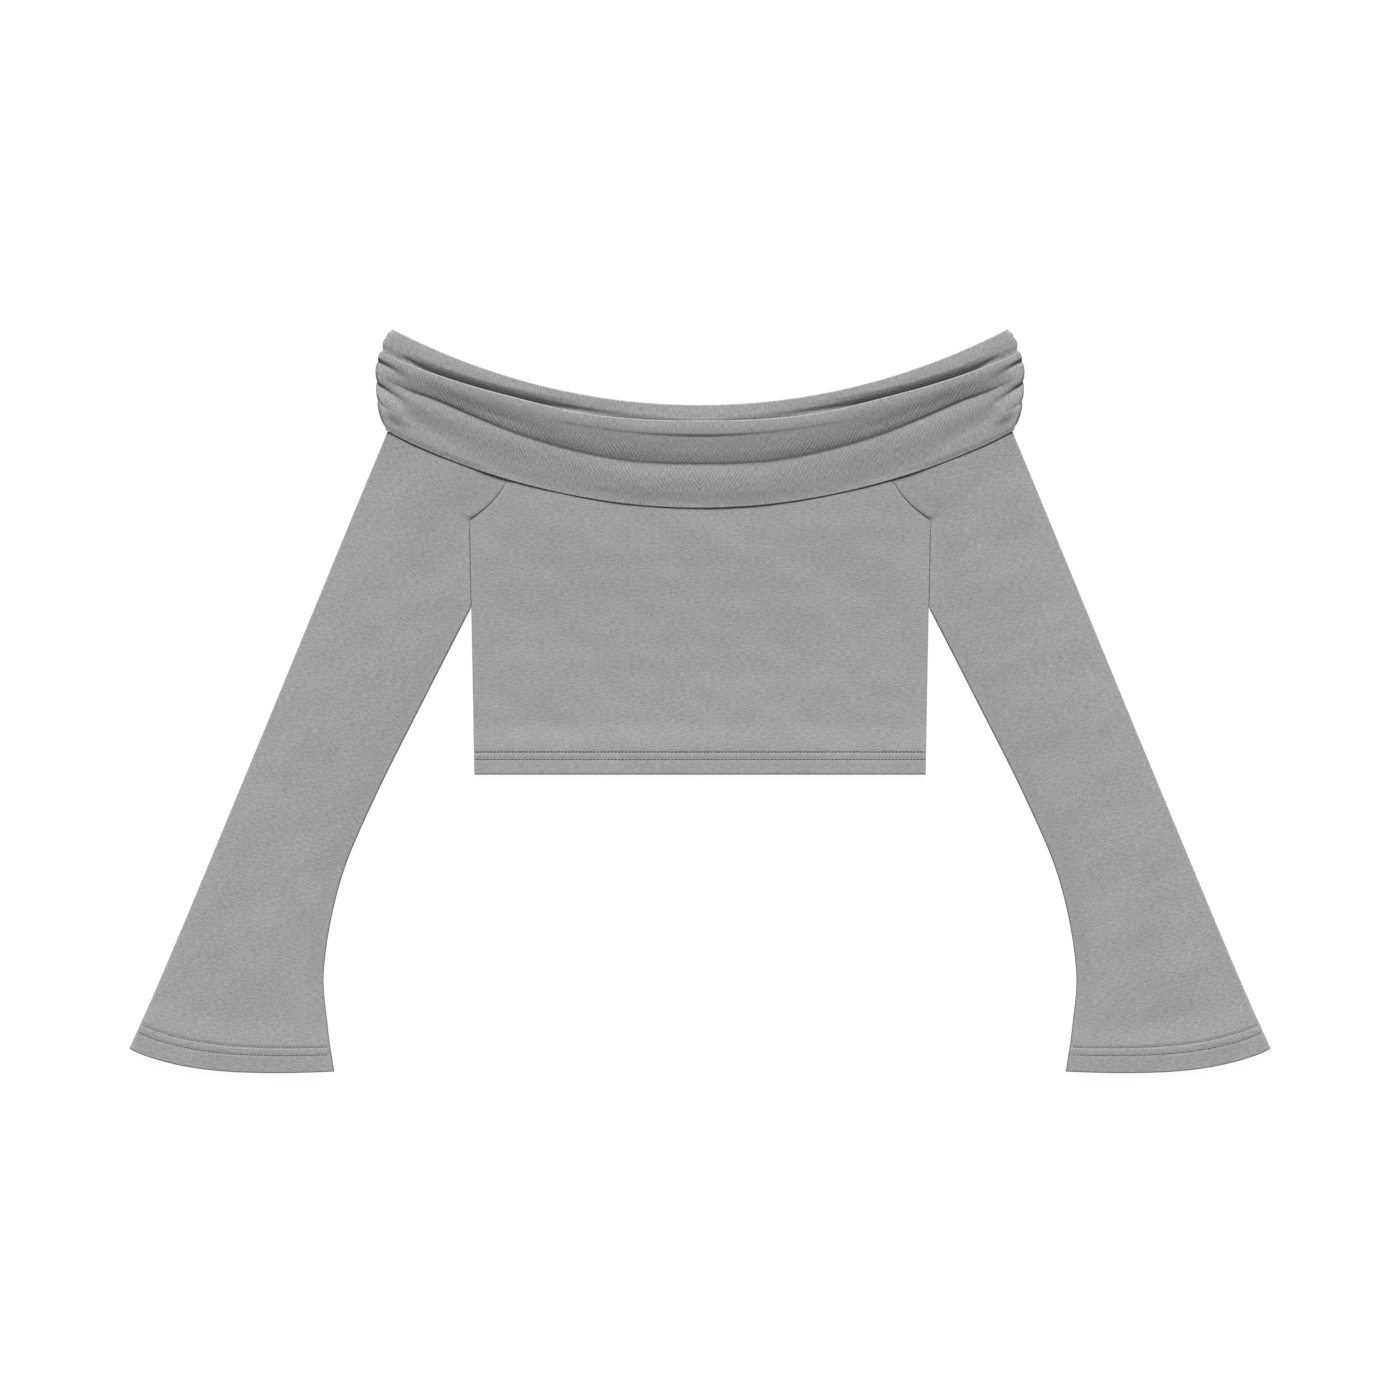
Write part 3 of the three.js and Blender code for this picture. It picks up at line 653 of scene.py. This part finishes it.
def make_sleeve(side, sign, seed):
    """One sleeve, a tube pressed flat, and the rows of stitches on its cuff."""
    at = sleeve_places()
    outer_edge, inner_edge = sleeve_plan(at)
    width = np.linalg.norm(inner_edge - outer_edge, axis=1)
    across = (inner_edge - outer_edge) / width[:, None]
    down = np.column_stack([-across[:, 1], across[:, 0]])
    middle = (outer_edge + inner_edge) / 2
    run = np.concatenate([[0], np.cumsum(np.linalg.norm(np.diff(middle, axis=0), axis=1))])
    to_cuff = run[-1] - run

    share, on_top = ring_shares()
    at = at[:, None]
    from_outer = share * width[:, None]
    from_inner = width[:, None] - from_outer
    bow = along(SLEEVE_RINGS, "bow", at, "at")
    bowed = bow * np.sin(math.pi * share ** lerp(1, CUFF_SKEW, at))
    plan = outer_edge[:, None] + across[:, None] * from_outer[..., None]
    plan = plan + down[:, None] * bowed[..., None]
    x, y = plan[..., 0], plan[..., 1]

    distance = np.broadcast_to(to_cuff[:, None], x.shape)
    thickness = hem_thickness(distance)
    half = thickness + SLEEVE_EDGE_GAP / 2
    closed = smoothstep(at, ARMHOLE_END - 0.001, ARMHOLE_END + 0.012)
    turned = rounded(from_outer / half) * lerp(1.0, rounded(from_inner / half), closed)
    way = np.where(on_top, 1, -1)
    rise = sleeve_rise(at, share, x, y, from_outer, from_inner, seed) * turned
    rise = np.where(on_top, rise, 0)
    relief = hem_relief(distance, from_outer, seed + 5, CUFF_ROWS, CUFF_SUNK)
    relief = relief * np.where(on_top, turned, 0)
    lift = panel_lift(np.minimum(np.abs(x), NECK_REACH), y)
    outer_z = lift + half + way * half * turned + rise + relief
    inner_z = lift + half + way * (half - thickness) * turned + rise

    pull_in = np.where(from_outer < half, (half - from_outer) * thickness / half, 0)
    push_out = np.where(from_inner < half, (half - from_inner) * thickness / half, 0)
    inner_plan = plan + (pull_in - push_out * closed)[..., None] * across[:, None]
    outer = np.stack([sign * x, y, outer_z], axis=-1)
    inner = np.stack([sign * inner_plan[..., 0], inner_plan[..., 1], inner_z], axis=-1)
    weave = np.stack([from_outer + 7 * seed, np.broadcast_to(run[:, None], x.shape)], axis=-1)
    strain = hem_strain(distance, CUFF_ROWS)
    made = cloth_mesh(f"sleeve_{side}_cloth", outer, inner, weave, strain, bulge=0.05)
    return made, cuff_stitches(side, outer[:, on_top], to_cuff)


def cuff_stitches(side, top, to_cuff):
    """Two rows of stitches across the top layer, from the outer fold to the inner edge."""
    rows = []
    for number, distance in enumerate(CUFF_ROWS):
        place = np.interp(distance, to_cuff[::-1], np.arange(len(to_cuff))[::-1])
        ring = int(place)
        line = lerp(top[ring], top[ring + 1], place - ring)[1:-1]
        rows.append(stitch_row(f"sleeve_{side}_cuff_row_{number + 1}", line))
    return rows


# Collar

def shoulder_half(drop):
    """Half length of the collar at a drop, nicked where its gathers end."""
    notch = sum(bump(drop - at, NOTCH_WIDTH) for at in NOTCHES)
    return along(SHOULDER, "half", drop, "drop") - GATHER_NOTCH * notch - END_INSET


def crease(distance, near, far):
    """A valley with one side steeper than the other."""
    before = np.exp(-np.abs(np.minimum(distance, 0) / near) ** 1.8)
    after = np.exp(-np.abs(np.maximum(distance, 0) / far) ** 1.4)
    return np.where(distance < 0, before, after)


def gather_depth(x, drop, spread=1.0):
    """Depth of the gathers at the shoulders. Each starts as a pinch and widens as it dies out."""
    depth = np.zeros(np.broadcast(x, drop).shape)
    for g in GATHERS:
        inward = along(SHOULDER, "half", g["edge"], "drop") - np.abs(x)
        share = np.clip(inward / g["reach"], 0, 1)
        distance = drop - lerp(g["edge"], g["inner"], share)
        near = g["near"] * lerp(0.7, 3.2, share) * spread
        depth += g["depth"] * (1 - share) ** 1.2 * crease(distance, near, g["far"] * spread)
    return depth


def puff(at, drop):
    rise = smoothstep(drop, *PUFF_RISE) * (1 - smoothstep(drop, *PUFF_FALL))
    return PUFF_HEIGHT * rise * smoothstep(at, *PUFF_FROM)


def front_fall_height(x, drop):
    """Height of the middle of the front collar's cloth."""
    at = np.abs(x)
    row = {key: along(FRONT_FOLDS, key, at) for key in FRONT_FOLDS[0] if key != "x"}
    roll, valley = row["roll"], row["valley"]
    share = np.clip((drop - roll - 1) / (valley - roll - 1), 0, 1)
    step = along(CENTRE_STEP, "depth", at)
    stepped = smoothstep(drop - along(CENTRE_STEP, "drop", at), *CENTRE_STEP_BLUR)
    fallen = along(FALL, "fallen", share, "share")
    sag = SAG_DEPTH * smoothstep(at, *SAG_FROM) * (1 - smoothstep(at, *SAG_TO))
    above = row["ridge"] - step * stepped - (row["ridge"] - row["brow"] - step) * fallen
    above = above - sag * bump(drop - lerp(roll, valley, SAG_PLACE), SAG_WIDTH)
    past = row["floor"] - (row["floor"] - row["low"]) * smoothstep(drop, row["flat"], row["soft"])
    down = smoothstep(drop - valley, -row["blur"], row["blur"])
    height = lerp(above, past + puff(at, drop), down)
    height = height - row["cut"] * crease(drop - valley - 0.4, 1.3, 2.6)
    return height - LIP * smoothstep(at, *LIP_FROM) * smoothstep(row["edge"] - drop, LIP_WIDTH, 0)


def ended(x, drop, height):
    """The height, lowered near the shoulder to that of the collar's end."""
    half = shoulder_half(drop)
    share = smoothstep(np.abs(x), half - SHOULDER_ROUND, half)
    return lerp(height, np.minimum(along(SHOULDER, "z", drop, "drop"), height), share)


def turned_down(x, drop, height, low):
    """The end of a layer at the shoulder, rounded down to the height called low."""
    share = np.clip((np.abs(x) - shoulder_half(drop)) / END_REACH + 1, 0, 1)
    return low + (height - low) * np.sqrt(1 - share**2)


def front_end_z(drop):
    """How far down the front's end turns: over the stand above, over the sleeve at the bottom."""
    below_roll = lerp(FRONT_END_Z, FRONT_LOW_END_Z, smoothstep(drop, *SLEEVE_END_DROPS))
    return lerp(FRONT_ROLL_END_Z, below_roll, smoothstep(drop, *ROLL_END_DROPS))


def hairpin(low, high, edge, under, corner, count):
    """Section of a roll: up from below, furthest out near its top and over a tight corner."""
    angle = np.radians(np.linspace(0, 180, count)[1:-1])[None, :]
    lower = angle <= math.pi / 2
    reach = np.where(lower, under, corner[0])
    drop = edge + reach * (1 - np.sin(angle))
    waist = high - corner[1]
    rising = low + (waist - low) * (1 - np.cos(angle))
    return drop, np.where(lower, rising, waist - corner[1] * np.cos(angle))


def roll_thinning(share, distance):
    """How much the doubled cloth thins in a roll, by its distance from it."""
    return lerp(ROLL_THIN, ROLL_END_THIN, share**ROLL_END_POWER) * bump(distance, ROLL_WIDTH)


def collar_mesh(name, x, drop, z, thin, strain):
    """Doubled cloth round its middle, along normals that are smoothed to keep its faces apart."""
    middle = np.stack([x, neck_arc(x) - drop, z], axis=-1)
    normals = grid_normals(middle)
    for _ in range(6):
        normals = smoothed(smoothed(normals, 0), 1)
    half = unit(normals) * (COLLAR_HALF * np.broadcast_to(thin, x.shape)[..., None])
    steps = np.linalg.norm(np.diff(middle, axis=1), axis=2)
    round_it = np.concatenate([np.zeros((len(middle), 1)), np.cumsum(steps, axis=1)], axis=1)
    weave = np.stack([x, round_it], axis=-1)
    return cloth_mesh(name, middle + half, middle - half, weave, strain)


def make_collar_front():
    """Up from the neckline seam, over the roll and down to the free edge."""
    share = shares_across(286, 1.5)[:, None]
    at = np.abs(share * FRONT_HALF)
    roll = along(FRONT_FOLDS, "roll", at) + COLLAR_HALF
    edge = along(FRONT_FOLDS, "edge", at) - 0.5
    roll_half = shoulder_half(roll)
    top_x = share * roll_half
    start = roll + ROLL_CORNER[0]
    top_z = ended(top_x, start, front_fall_height(top_x, start))
    top_z = turned_down(top_x, start, top_z, front_end_z(start))

    s = np.linspace(0, 1, 8)[None, :]
    stand_drop = lerp(NECK_SEAM_DROP - 2 * SEAM, roll + ROLL_UNDER, s)
    stand_x = share * lerp(STAND_HALF, roll_half, s)
    stand_z = turned_down(stand_x, stand_drop, FRONT_STAND_Z, FRONT_STAND_END_Z)

    turn_drop, turn_z = hairpin(stand_z[:, -1:], top_z, roll, ROLL_UNDER, ROLL_CORNER, 26)
    turn_x = np.broadcast_to(top_x, turn_drop.shape)

    fall_drop = lerp(start, edge, np.linspace(0, 1, 132)[None, :])
    fall_x = share * shoulder_half(fall_drop)
    height, length = COLLAR_WAVE
    waves = height * ripples(fall_x, fall_drop * 2.2, 31, length)
    waves = waves * smoothstep(fall_drop, start, start + 10)
    gathered = gather_depth(fall_x, fall_drop) * smoothstep(fall_drop, start, start + 4)
    fall_z = ended(fall_x, fall_drop, front_fall_height(fall_x, fall_drop)) - gathered + waves
    fall_z = turned_down(fall_x, fall_drop, fall_z, front_end_z(fall_drop))

    x = np.concatenate([stand_x, turn_x, fall_x], axis=1)
    drop = np.concatenate([stand_drop, turn_drop, fall_drop], axis=1)
    z = np.concatenate([stand_z, turn_z, fall_z], axis=1)
    thin = 1 - EDGE_THIN * smoothstep(edge - drop, EDGE_WIDTH, 0)
    thin = thin - roll_thinning(share, drop - start)
    return collar_mesh("collar_front_cloth", x, drop, z, thin, collar_strain(x, drop))


def collar_strain(x, drop):
    """The cloth is drawn into fine ripples between the roll and the deep crease."""
    at = np.abs(x)
    valley = along(FRONT_FOLDS, "valley", at)
    band = bump(drop - (valley - 9), 9)
    away = smoothstep(at, 20, 70) * (1 - smoothstep(at, 215, 250))
    lower = 0.9 * bump(drop - valley - 12, 10) * (1 - smoothstep(at, 185, 235))
    return np.clip(band * lerp(0.35, 1, away) + lower + 0.1, 0, 1)


def back_relief(x, drop):
    """The front's gathers and crease again on the hidden back, wider and pressed flatter."""
    valley = along(FRONT_FOLDS, "valley", np.abs(x))
    folds = np.minimum(gather_depth(x, drop, 1.8) * 0.7 + 3 * bump(drop - valley, 7), 4)
    return folds * BACK_RELIEF * smoothstep(drop, 24, 34) * (1 - smoothstep(drop, 70, 80))


def strip_section(row, top):
    """Drops and heights of the back's inner part, from the roll down to the neckline seam."""
    level = np.zeros_like(top)
    corner = COLLAR_HALF + STRIP_CORNER[0]
    crest, brink, foot, floor = (row[key] for key in ("crest", "brink", "foot", "floor"))
    knots = [
        (level + corner, top, 0),
        (lerp(corner, brink, 0.5), crest, 8),
        (brink, crest - STRIP_CROWN, 10),
        (lerp(brink, foot, 0.6), lerp(crest, floor, 0.3), 8),
        (foot, floor, 8),
        (foot + 3.2, np.minimum(floor, BACK_STAND_Z), 6),
        (level + STRIP_STAND_DROP, level + BACK_STAND_Z, 8),
        (level + NECK_SEAM_DROP - 2 * SEAM, level + BACK_STAND_Z, 4),
    ]
    drops, heights = [knots[0][0]], [knots[0][1]]
    for (drop, z, _), (next_drop, next_z, count) in zip(knots, knots[1:]):
        for k in range(1, count + 1):
            drops.append(lerp(drop, next_drop, k / count))
            heights.append(lerp(z, next_z, k / count))
    heights = np.concatenate(heights, axis=1)
    for _ in range(6):
        heights = smoothed(heights, 1)
    return np.concatenate(drops, axis=1), heights


def make_collar_back():
    """Outer part on the table, up to the roll and down inside, where its top strip shows."""
    share = shares_across(250, 1.5)[:, None]
    row = {key: along(STRIP, key, np.abs(share) * BACK_HALF) for key in STRIP[0] if key != "x"}
    edge = COLLAR_HALF
    rest = COLLAR_HALF

    s = np.linspace(0, 1, 60)[None, :]
    fall_drop = np.broadcast_to(lerp(BACK_FALL_DEPTH, edge + STRIP_UNDER, s), (len(share), s.size))
    fall_x = share * (shoulder_half(fall_drop) - 2.5 * smoothstep(fall_drop, 15, 30))
    fall_z = rest + np.maximum(back_relief(fall_x, fall_drop), 0)

    top_x = share * shoulder_half(edge)
    top = turned_down(top_x, edge, row["crest"] + STRIP_CROWN, BACK_END_Z)
    turn_drop, turn_z = hairpin(rest, top, edge, STRIP_UNDER, STRIP_CORNER, 24)
    turn_drop = np.broadcast_to(turn_drop, turn_z.shape)
    turn_x = share * shoulder_half(turn_drop)

    strip_drop, strip_z = strip_section(row, top)
    end_x = share * shoulder_half(strip_drop)
    strip_x = share * (shoulder_half(strip_drop) - 1.0 * smoothstep(strip_drop, 8, 16))
    strip_z = turned_down(end_x, strip_drop, strip_z, BACK_END_Z)

    x = np.concatenate([fall_x, turn_x, strip_x], axis=1)
    drop = np.concatenate([fall_drop, turn_drop, strip_drop], axis=1)
    z = np.concatenate([fall_z, turn_z, strip_z], axis=1)
    thin = 1 - roll_thinning(share, drop - edge)
    return collar_mesh("collar_back_cloth", x, drop, z, thin, np.full(x.shape, 0.2))


# Materials

class Shading:
    """A new material whose nodes are added and linked by short calls."""

    def __init__(self, name):
        self.material = bpy.data.materials.new(name)
        self.material.use_nodes = True
        self.nodes = self.material.node_tree.nodes
        self.link = self.material.node_tree.links.new
        self.shader = self.nodes["Principled BSDF"]

    def attribute(self, name):
        node = self.nodes.new("ShaderNodeAttribute")
        node.attribute_name = name
        return node

    def noise(self, vector, scale, detail, stretch=None, roughness=0.6):
        """Noise on a vector, stretched along its first two axes where stretch is given."""
        texture = self.nodes.new("ShaderNodeTexNoise")
        texture.inputs["Scale"].default_value = scale
        texture.inputs["Detail"].default_value = detail
        texture.inputs["Roughness"].default_value = roughness
        if stretch:
            mapping = self.nodes.new("ShaderNodeMapping")
            mapping.inputs["Scale"].default_value = (*stretch, 1)
            self.link(vector, mapping.inputs["Vector"])
            vector = mapping.outputs["Vector"]
        self.link(vector, texture.inputs["Vector"])
        return texture.outputs["Fac"]

    def calc(self, kind, *values):
        """One step of arithmetic on values, each a number or another node's output."""
        node = self.nodes.new("ShaderNodeMath")
        node.operation = kind
        for socket, value in zip(node.inputs, values):
            if isinstance(value, (int, float)):
                socket.default_value = value
            else:
                self.link(value, socket)
        return node.outputs[0]

    def centred(self, noise, amount, onto):
        """Noise about its middle, times an amount, added onto another value."""
        return self.calc("MULTIPLY_ADD", self.calc("SUBTRACT", noise, 0.5), amount, onto)

    def relief(self, height, strength, distance):
        bump_node = self.nodes.new("ShaderNodeBump")
        bump_node.inputs["Strength"].default_value = strength
        bump_node.inputs["Distance"].default_value = distance
        self.link(height, bump_node.inputs["Height"])
        self.link(bump_node.outputs["Normal"], self.shader.inputs["Normal"])


def jersey(name, streak, contrast):
    """Matt heather jersey. The knit, the heather's streaks and fine ripples follow the cloth."""
    shading = Shading(name)
    shader = shading.shader
    shader.inputs["Roughness"].default_value = 0.92
    shader.inputs["Sheen Weight"].default_value = 0.12
    shader.inputs["Sheen Roughness"].default_value = 0.5
    shader.inputs["Specular IOR Level"].default_value = 0.15
    weave = shading.attribute("weave").outputs["Vector"]
    strain = shading.attribute("strain").outputs["Fac"]

    # Heather: broad clouds, streaks, fibres that lie across them and grain
    clouds = shading.noise(weave, 0.03, 3, (1, 1))
    streaks = shading.noise(weave, 0.8, 3, streak)
    fibres = shading.noise(weave, 1.6, 2, (streak[1], streak[0]))
    grain = shading.noise(weave, 0.9, 2, (1, 1), 0.8)
    tone = shading.centred(clouds, 0.12, 1.0)
    tone = shading.centred(streaks, 0.7 * contrast, tone)
    tone = shading.centred(fibres, 0.2, tone)
    tone = shading.centred(grain, 0.75 * contrast, tone)
    colour = shading.nodes.new("ShaderNodeMix")
    colour.data_type = "RGBA"
    colour.blend_type = "MULTIPLY"
    colour.inputs["Factor"].default_value = 1.0
    colour.inputs["A"].default_value = (*CLOTH_COLOUR, 1)
    grey = shading.nodes.new("ShaderNodeCombineColor")
    for channel in ("Red", "Green", "Blue"):
        shading.link(tone, grey.inputs[channel])
    shading.link(grey.outputs["Color"], colour.inputs["B"])
    shading.link(colour.outputs["Result"], shader.inputs["Base Color"])

    # Knit: two ridges to a wale, crossed by courses that bow over each ridge
    split = shading.nodes.new("ShaderNodeSeparateXYZ")
    shading.link(weave, split.inputs["Vector"])
    u, v = split.outputs["X"], split.outputs["Y"]
    wale = shading.calc("SINE", shading.calc("MULTIPLY", u, 2 * math.pi / WALE))
    wale = shading.calc("ABSOLUTE", wale)
    courses = shading.calc("MULTIPLY", v, 2 * math.pi / COURSE)
    course = shading.calc("SINE", shading.calc("MULTIPLY_ADD", wale, 1.6, courses))
    knit = shading.calc("MULTIPLY_ADD", course, 0.4, wale)

    # Ripples: fine slanting folds, in patches, where the cloth is drawn in
    slanted = shading.calc("MULTIPLY_ADD", v, 0.55, shading.calc("ABSOLUTE", u))
    wander = shading.calc("MULTIPLY", shading.noise(weave, 0.05, 2, (1, 0.6)), 22.0)
    phase = shading.calc("MULTIPLY_ADD", slanted, 2 * math.pi / RIPPLE, wander)
    fold = shading.calc("MULTIPLY", shading.calc("SINE", phase), strain)
    patch = shading.calc("MULTIPLY", fold, shading.noise(weave, 0.09, 2, (1, 1)))

    height = shading.calc("MULTIPLY_ADD", patch, 1.7, shading.calc("MULTIPLY", knit, 0.45))
    height = shading.calc("MULTIPLY_ADD", streaks, 1.1, height)
    height = shading.calc("MULTIPLY_ADD", grain, 0.8, height)
    shading.relief(height, 0.9, 0.00012)
    return shading.material


def thread():
    """Dull sewing thread with a fine twist, much darker than the cloth: the thread's own tone
    together with painted shade of the sunk stitch rows.
    """
    shading = Shading("sewing_thread_and_shade")
    shader = shading.shader
    shader.inputs["Roughness"].default_value = 0.7
    shader.inputs["Sheen Weight"].default_value = 0.1
    place = shading.nodes.new("ShaderNodeTexCoord").outputs["Object"]
    twist = shading.noise(place, 900, 2, roughness=0.5)
    ramp = shading.nodes.new("ShaderNodeValToRGB")
    for element, share in zip(ramp.color_ramp.elements, (0.8, 1.2)):
        element.color = (*[c * share for c in THREAD_AND_SHADE_COLOUR], 1)
    shading.link(twist, ramp.inputs["Fac"])
    shading.link(ramp.outputs["Color"], shader.inputs["Base Color"])
    shading.relief(twist, 1.0, 0.0001)
    return shading.material


body_cloth = jersey("jersey_body", (0.3, 1.0), 1.4)
sleeve_cloth = jersey("jersey_sleeve", (0.28, 1.0), 1.5)
collar_cloth = jersey("jersey_collar", (1.0, 0.3), 1.7)
thread_and_shade_material = thread()


# Pieces

def dress(piece, material, *nodes):
    """Gives a piece its material and its body, and hides the solids that it stands for."""
    piece.data.materials.append(material)
    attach(piece, "root")
    if nodes:
        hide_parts(*nodes)
    return piece


front = dress(make_body_front(), body_cloth, "body_front")
back = dress(make_body_back(), body_cloth, "body_back")
sleeve_left, left_rows = make_sleeve("left", -1, 3)
sleeve_right, right_rows = make_sleeve("right", 1, 8)
dress(sleeve_left, sleeve_cloth, "sleeve_left")
dress(sleeve_right, sleeve_cloth, "sleeve_right")
collar_front = dress(make_collar_front(), collar_cloth, "collar_front")
collar_back = dress(make_collar_back(), collar_cloth, "collar_back")

bpy.context.view_layer.update()
hem_rows = hem_stitches(front)
for row in [*hem_rows, *left_rows, *right_rows]:
    dress(row, thread_and_shade_material)


# Floor, light and camera

def make_floor():
    """Plain white paper, just under the cloth."""
    size, z = 9.0, -0.0002
    corners = [(-size, -size, z), (size, -size, z), (size, size, z), (-size, size, z)]
    mesh = bpy.data.meshes.new("floor")
    mesh.from_pydata(corners, [], [(0, 1, 2, 3)])
    floor = bpy.data.objects.new("floor", mesh)
    bpy.context.scene.collection.objects.link(floor)
    paper = Shading("floor_paper")
    shader = paper.shader
    shader.inputs["Base Color"].default_value = (0.05, 0.05, 0.05, 1)
    shader.inputs["Roughness"].default_value = 1.0
    shader.inputs["Specular IOR Level"].default_value = 0.0
    shader.inputs["Emission Color"].default_value = (1, 1, 1, 1)
    shader.inputs["Emission Strength"].default_value = 0.97
    mesh.materials.append(paper.material)
    floor.visible_diffuse = False
    floor.visible_glossy = False


def make_lights():
    """One large soft light from the neckline's side, and a faint even one from all round."""
    world = bpy.data.worlds.new("studio")
    bpy.context.scene.world = world
    world.use_nodes = True
    background = world.node_tree.nodes["Background"]
    background.inputs["Color"].default_value = (1, 1, 1, 1)
    background.inputs["Strength"].default_value = 0.13
    key = bpy.data.lights.new("key", "SUN")
    key.energy = 5.25
    key.angle = math.radians(26)
    lamp = bpy.data.objects.new("key", key)
    elevation = math.radians(36)
    lamp.rotation_euler = (math.pi / 2 - elevation, 0, math.pi)
    bpy.context.scene.collection.objects.link(lamp)


def make_camera():
    camera = bpy.data.cameras.new("camera")
    camera.sensor_width = SENSOR_MM
    camera.lens = SENSOR_MM * (CAMERA_HEIGHT - CLOTH_HEIGHT) / VIEW_WIDTH
    camera.clip_end = 50
    eye = bpy.data.objects.new("camera", camera)
    eye.location = (*VIEW_CENTRE, CAMERA_HEIGHT)
    bpy.context.scene.collection.objects.link(eye)
    bpy.context.scene.camera = eye


make_floor()
make_lights()
make_camera()
bpy.context.scene.view_settings.view_transform = "Standard"
bpy.context.scene.view_settings.look = "None"
